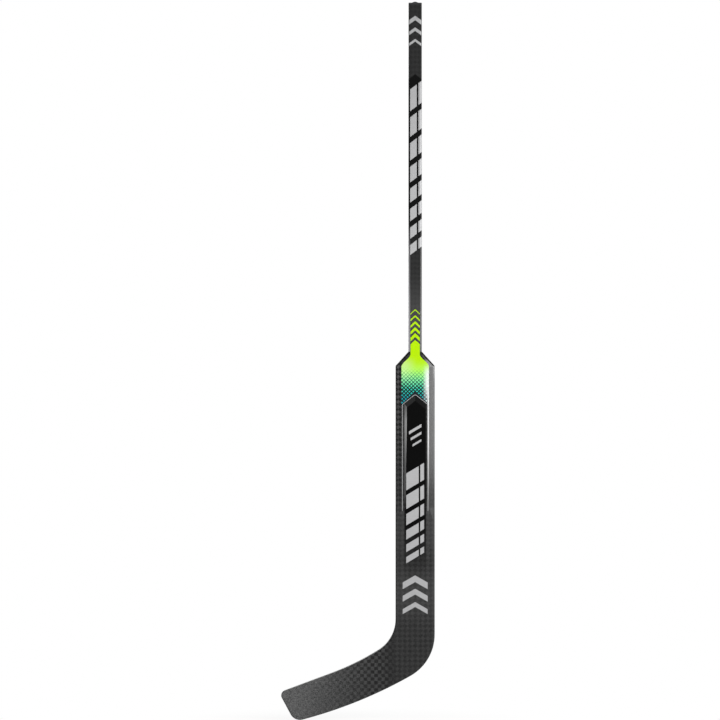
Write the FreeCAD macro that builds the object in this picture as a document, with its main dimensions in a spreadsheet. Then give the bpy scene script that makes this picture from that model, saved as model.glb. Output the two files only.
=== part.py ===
# A hockey goalie stick: a hollow shaft, a wide paddle and a curved blade, in moulded carbon.
# Frame: millimetres, +Z up the shaft, -Y the front face, -X the toe of the blade.
# The origin is on the shaft's axis at the top of the paddle's shoulders.
import FreeCAD, Part
import Sketcher
import math
import os

Vector = FreeCAD.Vector

# How a sketch numbers its own origin, and a curve's two ends and centre
ORIGIN = (-1, 1)
START, END, CENTRE = 1, 2, 3

# Driving sizes, in millimetres and degrees
SIZES = (
    # Shaft, a rectangular tube
    ("shaft_width", 30),
    ("shaft_thickness", 20),
    ("shaft_length", 781),
    ("shaft_wall", 1.8),
    ("shaft_corner", 4),
    ("corner_least", 0.5),
    # Plug in the shaft's upper end
    ("plug_flange", 3.6),
    ("plug_edge_round", 1.2),
    ("plug_dome_width", 15),
    ("plug_dome_height", 2.8),
    ("plug_stem_length", 46),
    ("plug_wall", 2.4),
    ("plug_fit", 0.15),
    ("plug_ring_height", 0.6),
    ("plug_ring_width", 3),
    ("plug_ring_pitch", 12),
    ("plug_ring_count", 3),
    # Paddle, with bevels along its upper part
    ("paddle_width", 88),
    ("paddle_thickness", 24),
    ("paddle_length", 602),
    ("shoulder_drop", 32),
    ("bevel_width", 13),
    ("bevel_depth", 4),
    ("bevel_length", 320),
    ("bevel_runout", 26),
    ("edge_radius", 4),
    # Outline of the heel and the blade, seen from the front
    ("inner_radius", 81),
    ("inner_slope", 32),
    ("top_edge_radius", 570),
    ("top_edge_slope", 20),
    ("heel_below_inner", 34),
    ("heel_radius", 107),
    ("heel_slope", 29.5),
    ("rocker_radius", 990),
    ("toe_reach", 301),
    ("toe_lean", 28),
    ("toe_top_radius", 12),
    ("toe_sole_radius", 24),
    # Curve of the blade, seen from above
    ("joint_beyond_edge", 4),
    ("curve_depth", 20),
    ("toe_thickness", 16),
    ("curve_margin", 10),
    # Laminate, spars and foam inside
    ("skin", 1.5),
    ("spar_spacing", 36),
    ("spar_thickness", 1.6),
    ("core_start", 6),
    ("heel_core_height", 30),
    ("bridge_thickness", 2),
    # Tongues in the two bonded joints
    ("bond_gap", 0.1),
    ("shaft_tenon_up", 90),
    ("shaft_tenon_down", 130),
    ("blade_axis_drop", 112),
    ("blade_axis_slope", 19),
    ("heel_tenon_in", 45),
    ("heel_tenon_out", 75),
    ("heel_tenon_height", 30),
    ("heel_tenon_thickness", 12),
)

# Levels and distances that several pieces share
SHOULDER_Z = "(-Sizes.shoulder_drop)"
BEVEL_END_Z = "(-Sizes.shoulder_drop - Sizes.bevel_length)"
SQUARE_Z = "(-Sizes.shoulder_drop - Sizes.bevel_length - Sizes.bevel_runout)"
CORE_FOOT_Z = "(-Sizes.paddle_length + Sizes.heel_core_height)"
JOINT_X = "(-Sizes.paddle_width / 2 - Sizes.joint_beyond_edge)"
BLADE_END_X = "(-Sizes.toe_reach - Sizes.curve_margin)"
SPAR_IN = "(Sizes.spar_spacing / 2 - Sizes.spar_thickness / 2)"
SPAR_OUT = "(Sizes.spar_spacing / 2 + Sizes.spar_thickness / 2)"
HALF_BRIDGE = "(Sizes.bridge_thickness / 2)"
BACK_DEPTH = "(Sizes.curve_depth + Sizes.paddle_thickness - Sizes.toe_thickness)"
MIDDLE_DEPTH = "(Sizes.curve_depth + Sizes.paddle_thickness / 2 - Sizes.toe_thickness / 2)"
# Lengths that reach past the whole stick, for the tools that divide it
FAR_DOWN = "(Sizes.paddle_length + Sizes.toe_reach + Sizes.heel_radius)"
FAR_SIDE = "(2 * (Sizes.paddle_thickness + Sizes.curve_depth))"

# Shape tests: how far a side or a face may look along Y, and how level a level edge is
SIDE_LEAN = 0.1
FACE_LEAN = 0.5
LEVEL_WITHIN = 0.01
HALF_CORNER_ANGLE = 45
QUADRANTS = ((1, 1), (-1, 1), (-1, -1), (1, -1))

doc = FreeCAD.newDocument("goalie_stick")
sheet = doc.addObject("Spreadsheet::Sheet", "Sizes")
for row, (alias, value) in enumerate(SIZES, start=1):
    sheet.set("A%d" % row, alias)
    sheet.set("B%d" % row, str(value))
    sheet.setAlias("B%d" % row, alias)
doc.recompute()
size = dict(SIZES)


def number(expression):
    """The value of an expression of the sheet's sizes; an angle comes in degrees."""
    return float(sheet.evalExpression(expression))


def polar(centre, radius, degrees):
    """The point at an angle on a circle."""
    angle = math.radians(degrees)
    return Vector(centre.x + radius * math.cos(angle), centre.y + radius * math.sin(angle), 0)


def make_body(label):
    """A new empty body."""
    body = doc.addObject("PartDesign::Body", label)
    body.Label = label
    return body


def sketch_in(body, role, name, lift=None):
    """A sketch on one of the body's own origin planes, lifted along its normal."""
    sketch = body.newObject("Sketcher::SketchObject", name)
    plane = [feature for feature in body.Origin.OriginFeatures if feature.Role == role][0]
    sketch.AttachmentSupport = [(plane, "")]
    sketch.MapMode = "FlatFace"
    if lift:
        sketch.setExpression("AttachmentOffset.Base.z", lift)
    return sketch


def pad(body, sketch, name, length, reverse=False, midplane=False):
    """Extrude a sketch by a length from the sheet."""
    feature = body.newObject("PartDesign::Pad", name)
    feature.Profile = sketch
    feature.Reversed = reverse
    feature.Midplane = midplane
    feature.setExpression("Length", length)


def pocket(body, sketch, name, length):
    """Cut a sketch upwards from its plane by a length from the sheet."""
    feature = body.newObject("PartDesign::Pocket", name)
    feature.Profile = sketch
    feature.Reversed = True
    feature.setExpression("Length", length)


def combine(kind, label, base, tool):
    """A boolean of two objects: Part::Cut, Part::Fuse or Part::Common."""
    result = doc.addObject(kind, label)
    result.Label = label
    result.Base = base
    result.Tool = tool
    return result


def block(label, low, high):
    """A box between two corners whose coordinates are expressions."""
    box = doc.addObject("Part::Box", label)
    for axis, length, start, end in zip("xyz", ("Length", "Width", "Height"), low, high):
        box.setExpression(length, "(%s) - (%s)" % (end, start))
        box.setExpression("Placement.Base." + axis, start)
    return box


def add_line(sketch, start, end):
    """A straight line between two points."""
    return sketch.addGeometry(Part.LineSegment(start, end))


def add_arc(sketch, centre, radius, from_degrees, to_degrees):
    """A counter-clockwise arc between two angles."""
    circle = Part.Circle(centre, Vector(0, 0, 1), radius)
    return sketch.addGeometry(
        Part.ArcOfCircle(circle, math.radians(from_degrees), math.radians(to_degrees)))


def join(sketch, kind, *ends):
    """Coincident or tangent ends: (curve, end, curve, end) for each pair."""
    for first, first_end, second, second_end in ends:
        sketch.addConstraint(Sketcher.Constraint(kind, first, first_end, second, second_end))


def hold(sketch, kind, *curves):
    """Lines that stay horizontal or vertical."""
    for curve in curves:
        sketch.addConstraint(Sketcher.Constraint(kind, curve))


def bind(sketch, kind, refs, expression):
    """A dimension of the sketch, driven by the sheet."""
    value = number(expression)
    if kind == "Angle":
        value = math.radians(value)
    index = sketch.addConstraint(Sketcher.Constraint(kind, *refs, value))
    sketch.setExpression("Constraints[%d]" % index, expression)


def bind_place(sketch, curve, end, x=None, y=None):
    """Bind a point's signed distance from the origin along the sketch's axes."""
    if x:
        bind(sketch, "DistanceX", (*ORIGIN, curve, end), x)
    if y:
        bind(sketch, "DistanceY", (*ORIGIN, curve, end), y)


def rectangle(sketch, low, high):
    """A rectangle between two corners whose coordinates are expressions."""
    left, bottom = (number(text) for text in low)
    right, top = (number(text) for text in high)
    corners = [Vector(left, bottom, 0), Vector(right, bottom, 0), Vector(right, top, 0), Vector(left, top, 0)]
    sides = [add_line(sketch, corners[n], corners[(n + 1) % 4]) for n in range(4)]
    for n in range(4):
        join(sketch, "Coincident", (sides[n], END, sides[(n + 1) % 4], START))
    hold(sketch, "Horizontal", sides[0], sides[2])
    hold(sketch, "Vertical", sides[1], sides[3])
    bind_place(sketch, sides[0], START, x=low[0], y=low[1])
    bind_place(sketch, sides[2], START, x=high[0], y=high[1])


def rounded_rectangle(sketch, half_width, half_depth, corner, split=False):
    """A rectangle with round corners, centred on the sketch; split corners are two arcs each."""
    radius = number(corner)
    centre_x = number(half_width) - radius
    centre_y = number(half_depth) - radius
    corners = []
    for quarter, (sign_x, sign_y) in enumerate(QUADRANTS):
        first = 90 * quarter
        stops = (first, first + HALF_CORNER_ANGLE, first + 90) if split else (first, first + 90)
        centre = Vector(sign_x * centre_x, sign_y * centre_y, 0)
        corners.append([add_arc(sketch, centre, radius, a, b) for a, b in zip(stops, stops[1:])])
    sides = []
    for quarter in range(4):
        start = sketch.getPoint(corners[quarter][-1], END)
        end = sketch.getPoint(corners[(quarter + 1) % 4][0], START)
        sides.append(add_line(sketch, start, end))
    for quarter, arcs in enumerate(corners):
        following = corners[(quarter + 1) % 4]
        join(sketch, "Tangent", (arcs[-1], END, sides[quarter], START), (sides[quarter], END, following[0], START))
        bind(sketch, "Radius", (arcs[0],), corner)
        if split:
            join(sketch, "Coincident", (arcs[0], END, arcs[1], START), (arcs[0], CENTRE, arcs[1], CENTRE))
            bind(sketch, "Angle", (arcs[0],), "%d deg" % HALF_CORNER_ANGLE)
    hold(sketch, "Horizontal", sides[0], sides[2])
    hold(sketch, "Vertical", sides[1], sides[3])
    bind_place(sketch, sides[3], START, x=half_width)
    bind_place(sketch, sides[1], START, x="-" + half_width)
    bind_place(sketch, sides[0], START, y=half_depth)
    bind_place(sketch, sides[2], START, y="-" + half_depth)


def bevelled_rectangle(sketch, half_width, half_depth, half_flat, slope, corner):
    """A flattened octagon: flats, bevels that slope towards the sides, and round outer edges."""
    lean = number(slope)
    radius = number(corner)
    turn = 90 - lean
    flat = Vector(number(half_flat), number(half_depth), 0)
    drop = (number(half_width) - flat.x) * math.tan(math.radians(lean))
    centre_x = number(half_width) - radius
    centre_y = flat.y - drop - radius * math.tan(math.radians(turn) / 2)
    bevel_end = polar(Vector(centre_x, centre_y, 0), radius, turn)
    bevel_angles = ("180 deg - %s", "%s - 180 deg", "-%s", "%s")
    quarters = []
    for quarter, (sign_x, sign_y) in enumerate(QUADRANTS):
        rising = quarter % 2 == 0
        first = 90 * quarter + (0 if rising else lean)
        arc = add_arc(sketch, Vector(sign_x * centre_x, sign_y * centre_y, 0), radius, first, first + turn)
        outer = Vector(sign_x * bevel_end.x, sign_y * bevel_end.y, 0)
        inner = Vector(sign_x * flat.x, sign_y * flat.y, 0)
        if rising:
            bevel = add_line(sketch, outer, inner)
            join(sketch, "Tangent", (arc, END, bevel, START))
            quarters.append((arc, bevel))
        else:
            bevel = add_line(sketch, inner, outer)
            join(sketch, "Tangent", (bevel, END, arc, START))
            quarters.append((bevel, arc))
        bind(sketch, "Angle", (bevel,), bevel_angles[quarter] % slope)
        bind(sketch, "Radius", (arc,), corner)
        bind_place(sketch, bevel, END if rising else START, x=half_flat if sign_x > 0 else "-" + half_flat)
    for quarter in range(4):
        last = quarters[quarter][1]
        following = quarters[(quarter + 1) % 4][0]
        side = add_line(sketch, sketch.getPoint(last, END), sketch.getPoint(following, START))
        on_face = quarter % 2 == 0
        join(sketch, "Coincident" if on_face else "Tangent", (last, END, side, START), (side, END, following, START))
        hold(sketch, "Horizontal" if on_face else "Vertical", side)
        if on_face:
            bind_place(sketch, side, START, y=half_depth if quarter == 0 else "-" + half_depth)
        else:
            bind_place(sketch, side, START, x=half_width if quarter == 3 else "-" + half_width)


def upper_paddle(label, inset):
    """The shoulders and the bevelled stretch of the paddle, all faces moved inwards by inset."""
    body = make_body(label)
    half_width = "(Sizes.paddle_width / 2 - %s)" % inset
    half_depth = "(Sizes.paddle_thickness / 2 - %s)" % inset
    corner = "(Sizes.edge_radius - %s)" % inset
    half_flat = "(Sizes.paddle_width / 2 - Sizes.bevel_width)"
    slope = "atan(Sizes.bevel_depth / Sizes.bevel_width)"
    neck = sketch_in(body, "XY_Plane", label + "_neck")
    rounded_rectangle(
        neck, "(Sizes.shaft_width / 2 - %s)" % inset, "(Sizes.shaft_thickness / 2 - %s)" % inset,
        "(Sizes.shaft_corner - %s)" % inset, split=True)
    shoulder = sketch_in(body, "XY_Plane", label + "_shoulder", SHOULDER_Z)
    bevel_end = sketch_in(body, "XY_Plane", label + "_bevel_end", BEVEL_END_Z)
    for section in (shoulder, bevel_end):
        bevelled_rectangle(section, half_width, half_depth, half_flat, slope, corner)
    square = sketch_in(body, "XY_Plane", label + "_square", SQUARE_Z)
    rounded_rectangle(square, half_width, half_depth, corner, split=True)
    loft = body.newObject("PartDesign::AdditiveLoft", label + "_loft")
    loft.Profile = neck
    loft.Sections = [shoulder, bevel_end, square]
    loft.Ruled = True
    return body


def blade_outline(sketch, inset):
    """The front view below the bevels: paddle sides, heel, rockered sole, toe and top edge."""
    inward = number(inset)
    half_width = size["paddle_width"] / 2
    top_z = number(SQUARE_Z)
    inner_z = -size["paddle_length"]
    heel_z = inner_z - size["heel_below_inner"]
    heel_turn = size["heel_slope"] - 90
    inner_turn = size["inner_slope"] - 90
    top_turn = size["top_edge_slope"] - 90
    toe_normal = 180 + size["toe_lean"]
    top_normal = 90 + size["top_edge_slope"]
    heel_centre = Vector(half_width - size["heel_radius"], heel_z, 0)
    rocker_centre = polar(heel_centre, size["heel_radius"] - size["rocker_radius"], heel_turn)
    inner_centre = Vector(-half_width - size["inner_radius"], inner_z, 0)
    top_centre = polar(inner_centre, size["inner_radius"] - size["top_edge_radius"], inner_turn)
    # The toe's upper corner touches the straight top edge and reaches the full length
    top_edge_end = polar(top_centre, size["top_edge_radius"], top_turn)
    on_parallel = polar(top_edge_end, -size["toe_top_radius"], top_normal)
    corner_x = size["toe_top_radius"] - size["toe_reach"]
    run = (on_parallel.x - corner_x) / math.cos(math.radians(size["top_edge_slope"]))
    toe_top_centre = polar(on_parallel, -run, size["top_edge_slope"])
    # The toe's lower corner touches the leaning toe and the inside of the rocker
    toe_line_point = polar(toe_top_centre, size["toe_top_radius"] - size["toe_sole_radius"], toe_normal)
    along = Vector(math.sin(math.radians(size["toe_lean"])), -math.cos(math.radians(size["toe_lean"])), 0)
    offset = toe_line_point - rocker_centre
    reach = size["rocker_radius"] - size["toe_sole_radius"]
    half_b = offset.dot(along)
    slide = math.sqrt(half_b ** 2 - offset.dot(offset) + reach ** 2) - half_b
    toe_sole_centre = toe_line_point + along * slide
    sole_normal = math.degrees(math.atan2(
        toe_sole_centre.y - rocker_centre.y, toe_sole_centre.x - rocker_centre.x))

    right = add_line(sketch, Vector(half_width - inward, heel_z, 0), Vector(half_width - inward, top_z, 0))
    top = add_line(sketch, Vector(half_width - inward, top_z, 0), Vector(inward - half_width, top_z, 0))
    left = add_line(sketch, Vector(inward - half_width, top_z, 0), Vector(inward - half_width, inner_z, 0))
    inner = add_arc(sketch, inner_centre, size["inner_radius"] + inward, inner_turn, 0)
    upper = add_arc(sketch, top_centre, size["top_edge_radius"] + inward, top_turn, inner_turn)
    toe_top = add_arc(sketch, toe_top_centre, size["toe_top_radius"] - inward, top_normal, toe_normal)
    toe_sole = add_arc(sketch, toe_sole_centre, size["toe_sole_radius"] - inward, toe_normal, 360 + sole_normal)
    sole = add_arc(sketch, rocker_centre, size["rocker_radius"] - inward, sole_normal, heel_turn)
    heel = add_arc(sketch, heel_centre, size["heel_radius"] - inward, heel_turn, 0)
    edge = add_line(sketch, sketch.getPoint(upper, START), sketch.getPoint(toe_top, START))
    toe = add_line(sketch, sketch.getPoint(toe_top, END), sketch.getPoint(toe_sole, START))
    join(sketch, "Coincident", (right, END, top, START), (top, END, left, START))
    join(sketch, "Tangent", (left, END, inner, END), (inner, START, upper, END), (upper, START, edge, START),
         (edge, END, toe_top, START), (toe_top, END, toe, START), (toe, END, toe_sole, START),
         (toe_sole, END, sole, START), (sole, END, heel, START), (heel, END, right, START))
    hold(sketch, "Vertical", right, left)
    hold(sketch, "Horizontal", top)
    bind_place(sketch, right, START, x="Sizes.paddle_width / 2 - %s" % inset,
               y="-Sizes.paddle_length - Sizes.heel_below_inner")
    bind_place(sketch, left, START, x="%s - Sizes.paddle_width / 2" % inset, y=SQUARE_Z)
    bind_place(sketch, left, END, y="-Sizes.paddle_length")
    bind_place(sketch, toe_top, CENTRE, x="Sizes.toe_top_radius - Sizes.toe_reach")
    for arc, alias, sign in ((inner, "inner_radius", "+"), (upper, "top_edge_radius", "+"),
                             (toe_top, "toe_top_radius", "-"), (toe_sole, "toe_sole_radius", "-"),
                             (sole, "rocker_radius", "-"), (heel, "heel_radius", "-")):
        bind(sketch, "Radius", (arc,), "Sizes.%s %s %s" % (alias, sign, inset))
    bind(sketch, "Angle", (heel,), "90 deg - Sizes.heel_slope * 1 deg")
    bind(sketch, "Angle", (inner,), "90 deg - Sizes.inner_slope * 1 deg")
    bind(sketch, "Angle", (edge,), "Sizes.top_edge_slope * 1 deg - 180 deg")
    bind(sketch, "Angle", (toe,), "Sizes.toe_lean * 1 deg - 90 deg")


def plan_curve(sketch, level, depth):
    """In plan, a line at a level along Y over the paddle, then an arc that comes forwards by depth."""
    forwards = number(depth)
    joint = Vector(number(JOINT_X), number(level), 0)
    run = joint.x - number(BLADE_END_X)
    radius = (run ** 2 + forwards ** 2) / (2 * forwards)
    flat = add_line(sketch, Vector(size["paddle_width"], joint.y, 0), joint)
    turn = math.degrees(math.asin(run / radius))
    arc = add_arc(sketch, Vector(joint.x, joint.y - radius, 0), radius, 90, 90 + turn)
    join(sketch, "Tangent", (flat, END, arc, START))
    hold(sketch, "Horizontal", flat)
    bind_place(sketch, flat, START, x="Sizes.paddle_width", y=level)
    bind_place(sketch, flat, END, x=JOINT_X)
    bind_place(sketch, arc, END, x=BLADE_END_X, y="%s - %s" % (level, depth))
    return flat, arc


def blade_plan(sketch, inset):
    """The plan view: flat paddle, then a face and a back that curve forwards and thin to the toe."""
    half_depth = "(Sizes.paddle_thickness / 2 - %s)" % inset
    front, face = plan_curve(sketch, "-" + half_depth, "Sizes.curve_depth")
    rear, back = plan_curve(sketch, half_depth, BACK_DEPTH)
    heel_end = add_line(sketch, sketch.getPoint(front, START), sketch.getPoint(rear, START))
    toe_end = add_line(sketch, sketch.getPoint(face, END), sketch.getPoint(back, END))
    join(sketch, "Coincident", (front, START, heel_end, START), (rear, START, heel_end, END),
         (face, END, toe_end, START), (back, END, toe_end, END))


def lower_stick(label, inset):
    """The rest of the paddle with the heel and the blade: the front view crossed with the plan."""
    front_view = make_body(label + "_front_view")
    outline = sketch_in(front_view, "XZ_Plane", label + "_outline")
    blade_outline(outline, inset)
    pad(front_view, outline, label + "_outline_pad", "2 * " + FAR_SIDE, midplane=True)
    plan_view = make_body(label + "_plan_view")
    plan = sketch_in(plan_view, "XY_Plane", label + "_plan")
    blade_plan(plan, inset)
    pad(plan_view, plan, label + "_plan_pad", FAR_DOWN, reverse=True)
    crossed = combine("Part::Common", label + "_crossed", front_view, plan_view)
    doc.recompute()
    rounded = doc.addObject("Part::Fillet", label)
    rounded.Base = crossed
    radius = number("Sizes.edge_radius - %s" % inset)
    rounded.Edges = [(edge, radius, radius) for edge in rim_edges(crossed.Shape)]
    return rounded


def face_lean(face):
    """How far a face's middle looks along Y: 0 on the sides of the outline, near 1 on the faces."""
    u_low, u_high, v_low, v_high = face.ParameterRange
    return abs(face.normalAt((u_low + u_high) / 2, (v_low + v_high) / 2).y)


def rim_edges(shape):
    """The numbers of the edges between the front or back and the sides, without the upper end."""
    below_end = shape.BoundBox.ZMax - size["edge_radius"]
    numbers = []
    for edge_number, edge in enumerate(shape.Edges, start=1):
        side, face = sorted(face_lean(face) for face in shape.ancestorsOfType(edge, Part.Face))
        if side < SIDE_LEAN and face > FACE_LEAN and edge.BoundBox.ZMin < below_end:
            numbers.append(edge_number)
    return numbers


def parting_tool():
    """Everything in front of the surface half way between the faces, where the skins meet."""
    body = make_body("parting_tool")
    sketch = sketch_in(body, "XY_Plane", "parting_plan")
    flat, arc = plan_curve(sketch, "0", MIDDLE_DEPTH)
    heel_top = sketch.getPoint(flat, START)
    toe_top = sketch.getPoint(arc, END)
    front_y = -number(FAR_SIDE)
    toe = add_line(sketch, toe_top, Vector(toe_top.x, front_y, 0))
    front = add_line(sketch, Vector(toe_top.x, front_y, 0), Vector(heel_top.x, front_y, 0))
    heel = add_line(sketch, Vector(heel_top.x, front_y, 0), heel_top)
    join(sketch, "Coincident", (arc, END, toe, START), (toe, END, front, START),
         (front, END, heel, START), (heel, END, flat, START))
    hold(sketch, "Horizontal", front)
    hold(sketch, "Vertical", toe, heel)
    bind_place(sketch, front, END, y="-" + FAR_SIDE)
    pad(body, sketch, "parting_pad", FAR_DOWN, reverse=True)
    return body


def on_blade_axis(label, low, high, thickness):
    """A bar laid along the blade's axis, which runs down to the toe from the joint with the paddle."""
    body = make_body(label)
    sketch = sketch_in(body, "XZ_Plane", label + "_side")
    rectangle(sketch, low, high)
    pad(body, sketch, label + "_pad", thickness, midplane=True)
    body.Placement = FreeCAD.Placement(Vector(), FreeCAD.Rotation(Vector(0, -1, 0), size["blade_axis_slope"]))
    body.setExpression("Placement.Base.x", JOINT_X)
    body.setExpression("Placement.Base.z", "-Sizes.paddle_length - Sizes.blade_axis_drop")
    body.setExpression("Placement.Rotation.Angle", "Sizes.blade_axis_slope * 1 deg")
    return body


def heel_tenon_bar(label, gap):
    """The tongue that ties the blade to the heel, or with a gap the slot that it is bonded into."""
    return on_blade_axis(
        label,
        ("-Sizes.heel_tenon_out - %s" % gap, "-Sizes.heel_tenon_height / 2 - %s" % gap),
        ("Sizes.heel_tenon_in + %s" % gap, "Sizes.heel_tenon_height / 2 + %s" % gap),
        "Sizes.heel_tenon_thickness + 2 * %s" % gap)


def shaft_tenon_bar(label, play, down):
    """The tongue inside the shaft's bore and the paddle, or its pocket, with its play in the bore."""
    body = make_body(label)
    section = shaft_section(body, label + "_section", "-" + down, "(Sizes.shaft_wall + %s)" % play)
    pad(body, section, label + "_pad", "Sizes.shaft_tenon_up + %s" % down)
    return body


def shaft_section(body, name, lift, inset):
    """A section of the shaft at a level: its outside, moved inwards by inset."""
    sketch = sketch_in(body, "XY_Plane", name, lift)
    rounded_rectangle(
        sketch, "(Sizes.shaft_width / 2 - %s)" % inset, "(Sizes.shaft_thickness / 2 - %s)" % inset,
        "max(Sizes.shaft_corner - %s; Sizes.corner_least)" % inset)
    return sketch


def shaft_tube():
    """The hollow shaft above the shoulders."""
    body = make_body("shaft_tube")
    pad(body, shaft_section(body, "shaft_outside", None, "0"), "shaft_pad", "Sizes.shaft_length")
    bore = shaft_section(body, "shaft_bore", None, "Sizes.shaft_wall")
    pocket(body, bore, "shaft_bore_pocket", "Sizes.shaft_length")
    return body


def butt_plug():
    """The cap in the shaft's open end: a flange with a low dome, and a hollow stem with grip rings."""
    body = make_body("butt_plug")
    ring_inset = "(Sizes.shaft_wall + Sizes.plug_fit)"
    stem_inset = "(%s + Sizes.plug_ring_height)" % ring_inset
    hollow_inset = "(%s + Sizes.plug_wall)" % stem_inset
    flange = shaft_section(body, "plug_flange", "Sizes.shaft_length", "0")
    pad(body, flange, "plug_flange_pad", "Sizes.plug_flange")
    stem = shaft_section(body, "plug_stem", "Sizes.shaft_length", stem_inset)
    pad(body, stem, "plug_stem_pad", "Sizes.plug_stem_length", reverse=True)
    for number_down in range(1, size["plug_ring_count"] + 1):
        lift = "Sizes.shaft_length - %d * Sizes.plug_ring_pitch" % number_down
        ring = shaft_section(body, "plug_ring_%d" % number_down, lift, ring_inset)
        pad(body, ring, "plug_ring_pad_%d" % number_down, "Sizes.plug_ring_width", reverse=True)
    hollow_lift = "Sizes.shaft_length - Sizes.plug_stem_length"
    stem_hollow = shaft_section(body, "plug_hollow", hollow_lift, hollow_inset)
    pocket(body, stem_hollow, "plug_hollow_pocket", "Sizes.plug_stem_length")
    dome = sketch_in(body, "XZ_Plane", "plug_dome")
    dome_profile(dome)
    turned = body.newObject("PartDesign::Revolution", "plug_dome_turned")
    turned.Profile = dome
    turned.ReferenceAxis = (dome, ["V_Axis"])
    turned.Angle = 360
    doc.recompute()
    rim = body.newObject("PartDesign::Fillet", "plug_rim_round")
    rim.Base = (turned, flange_rim(turned.Shape))
    rim.setExpression("Radius", "Sizes.plug_edge_round")
    return body


def dome_profile(sketch):
    """Half of the plug's dome, from its axis to its foot on the flange."""
    foot_z = size["shaft_length"] + size["plug_flange"]
    half = size["plug_dome_width"] / 2
    height = size["plug_dome_height"]
    radius = (half ** 2 + height ** 2) / (2 * height)
    lean = math.degrees(math.acos(half / radius))
    axis = add_line(sketch, Vector(0, foot_z + height, 0), Vector(0, foot_z, 0))
    foot = add_line(sketch, Vector(0, foot_z, 0), Vector(half, foot_z, 0))
    crown = add_arc(sketch, Vector(0, foot_z + height - radius, 0), radius, lean, 90)
    join(sketch, "Coincident", (axis, END, foot, START), (foot, END, crown, START), (crown, END, axis, START))
    hold(sketch, "Horizontal", foot)
    for curve, end in ((crown, CENTRE), (axis, START), (axis, END)):
        bind_place(sketch, curve, end, x="0")
    bind_place(sketch, foot, END, x="Sizes.plug_dome_width / 2", y="Sizes.shaft_length + Sizes.plug_flange")
    bind_place(sketch, axis, START, y="Sizes.shaft_length + Sizes.plug_flange + Sizes.plug_dome_height")


def flange_rim(shape):
    """The edges round the top of the plug's flange, outside its dome."""
    top = size["shaft_length"] + size["plug_flange"]
    names = []
    for edge_number, edge in enumerate(shape.Edges, start=1):
        box = edge.BoundBox
        level = abs(box.ZMin - top) < LEVEL_WITHIN and abs(box.ZMax - top) < LEVEL_WITHIN
        beyond_dome = edge.CenterOfMass.sub(Vector(0, 0, top)).Length > size["plug_dome_width"] / 2
        if level and beyond_dome:
            names.append("Edge%d" % edge_number)
    return names


# The moulded envelope, its hollow, and the tools that divide both
outer_upper = upper_paddle("outer_upper", "0")
inner_upper = upper_paddle("inner_upper", "Sizes.skin")
outer_lower = lower_stick("outer_lower", "0")
inner_lower = lower_stick("inner_lower", "Sizes.skin")
envelope = combine("Part::Fuse", "envelope", outer_upper, outer_lower)
hollow = combine("Part::Fuse", "hollow", inner_upper, inner_lower)
shell = combine("Part::Cut", "shell", envelope, hollow)
front_of_parting = parting_tool()
paddle_side = block("paddle_side", (JOINT_X, "-" + FAR_SIDE, "-" + FAR_DOWN), ("Sizes.paddle_width", FAR_SIDE, "0"))
front_shell = combine("Part::Common", "front_shell", shell, front_of_parting)
rear_shell = combine("Part::Cut", "rear_shell", shell, front_of_parting)
paddle_hollow = combine("Part::Common", "paddle_hollow", hollow, paddle_side)
blade_hollow = combine("Part::Cut", "blade_hollow", hollow, paddle_side)

# Skins: a front and a back moulding on the paddle and on the blade
parts = [
    combine("Part::Common", "paddle_front_skin", front_shell, paddle_side),
    combine("Part::Common", "paddle_rear_skin", rear_shell, paddle_side),
    combine("Part::Cut", "blade_front_skin", front_shell, paddle_side),
    combine("Part::Cut", "blade_rear_skin", rear_shell, paddle_side),
]

# Tongues in the two joints, with the slots that hold them
shaft_tenon = shaft_tenon_bar("shaft_tenon", "Sizes.bond_gap", "Sizes.shaft_tenon_down")
shaft_slot = shaft_tenon_bar("shaft_slot", "0", "(Sizes.shaft_tenon_down + Sizes.bond_gap)")
heel_tenon = heel_tenon_bar("heel_tenon", "0")
heel_slot = heel_tenon_bar("heel_slot", "Sizes.bond_gap")
parts += [shaft_tenon, heel_tenon]

# Spars and foam inside the paddle, from below the neck to the heel's own block
slabs = {}
for label, low_x, high_x in (
        ("toe_side_core", "-Sizes.paddle_width", "-" + SPAR_OUT),
        ("toe_side_spar", "-" + SPAR_OUT, "-" + SPAR_IN),
        ("centre_core_blank", "-" + SPAR_IN, SPAR_IN),
        ("heel_side_spar", SPAR_IN, SPAR_OUT),
        ("heel_side_core", SPAR_OUT, "Sizes.paddle_width")):
    slab = block(label + "_slab", (low_x, "-" + FAR_SIDE, CORE_FOOT_Z), (high_x, FAR_SIDE, "-Sizes.core_start"))
    slabs[label] = combine("Part::Common", label, paddle_hollow, slab)
centre_blank = slabs.pop("centre_core_blank")
parts += slabs.values()
parts.append(combine("Part::Cut", "centre_core", centre_blank, shaft_slot))
heel_slab = block(
    "heel_slab", (JOINT_X, "-" + FAR_SIDE, "-" + FAR_DOWN), ("Sizes.paddle_width", FAR_SIDE, CORE_FOOT_Z))
heel_blank = combine("Part::Common", "heel_core_blank", paddle_hollow, heel_slab)
parts.append(combine("Part::Cut", "heel_core", heel_blank, heel_slot))

# The blade's bridge, a rib from face to face along its axis, with foam above and below it
for label, low_z, high_z in (
        ("blade_upper_core", HALF_BRIDGE, FAR_DOWN),
        ("blade_bridge", "-" + HALF_BRIDGE, HALF_BRIDGE),
        ("blade_lower_core", "-" + FAR_DOWN, "-" + HALF_BRIDGE)):
    band = on_blade_axis(label + "_band", ("-" + FAR_DOWN, low_z), (FAR_DOWN, high_z), "2 * " + FAR_SIDE)
    blank = combine("Part::Common", label + "_blank", blade_hollow, band)
    parts.append(combine("Part::Cut", label, blank, heel_slot))

parts += [shaft_tube(), butt_plug()]
doc.recompute()

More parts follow.
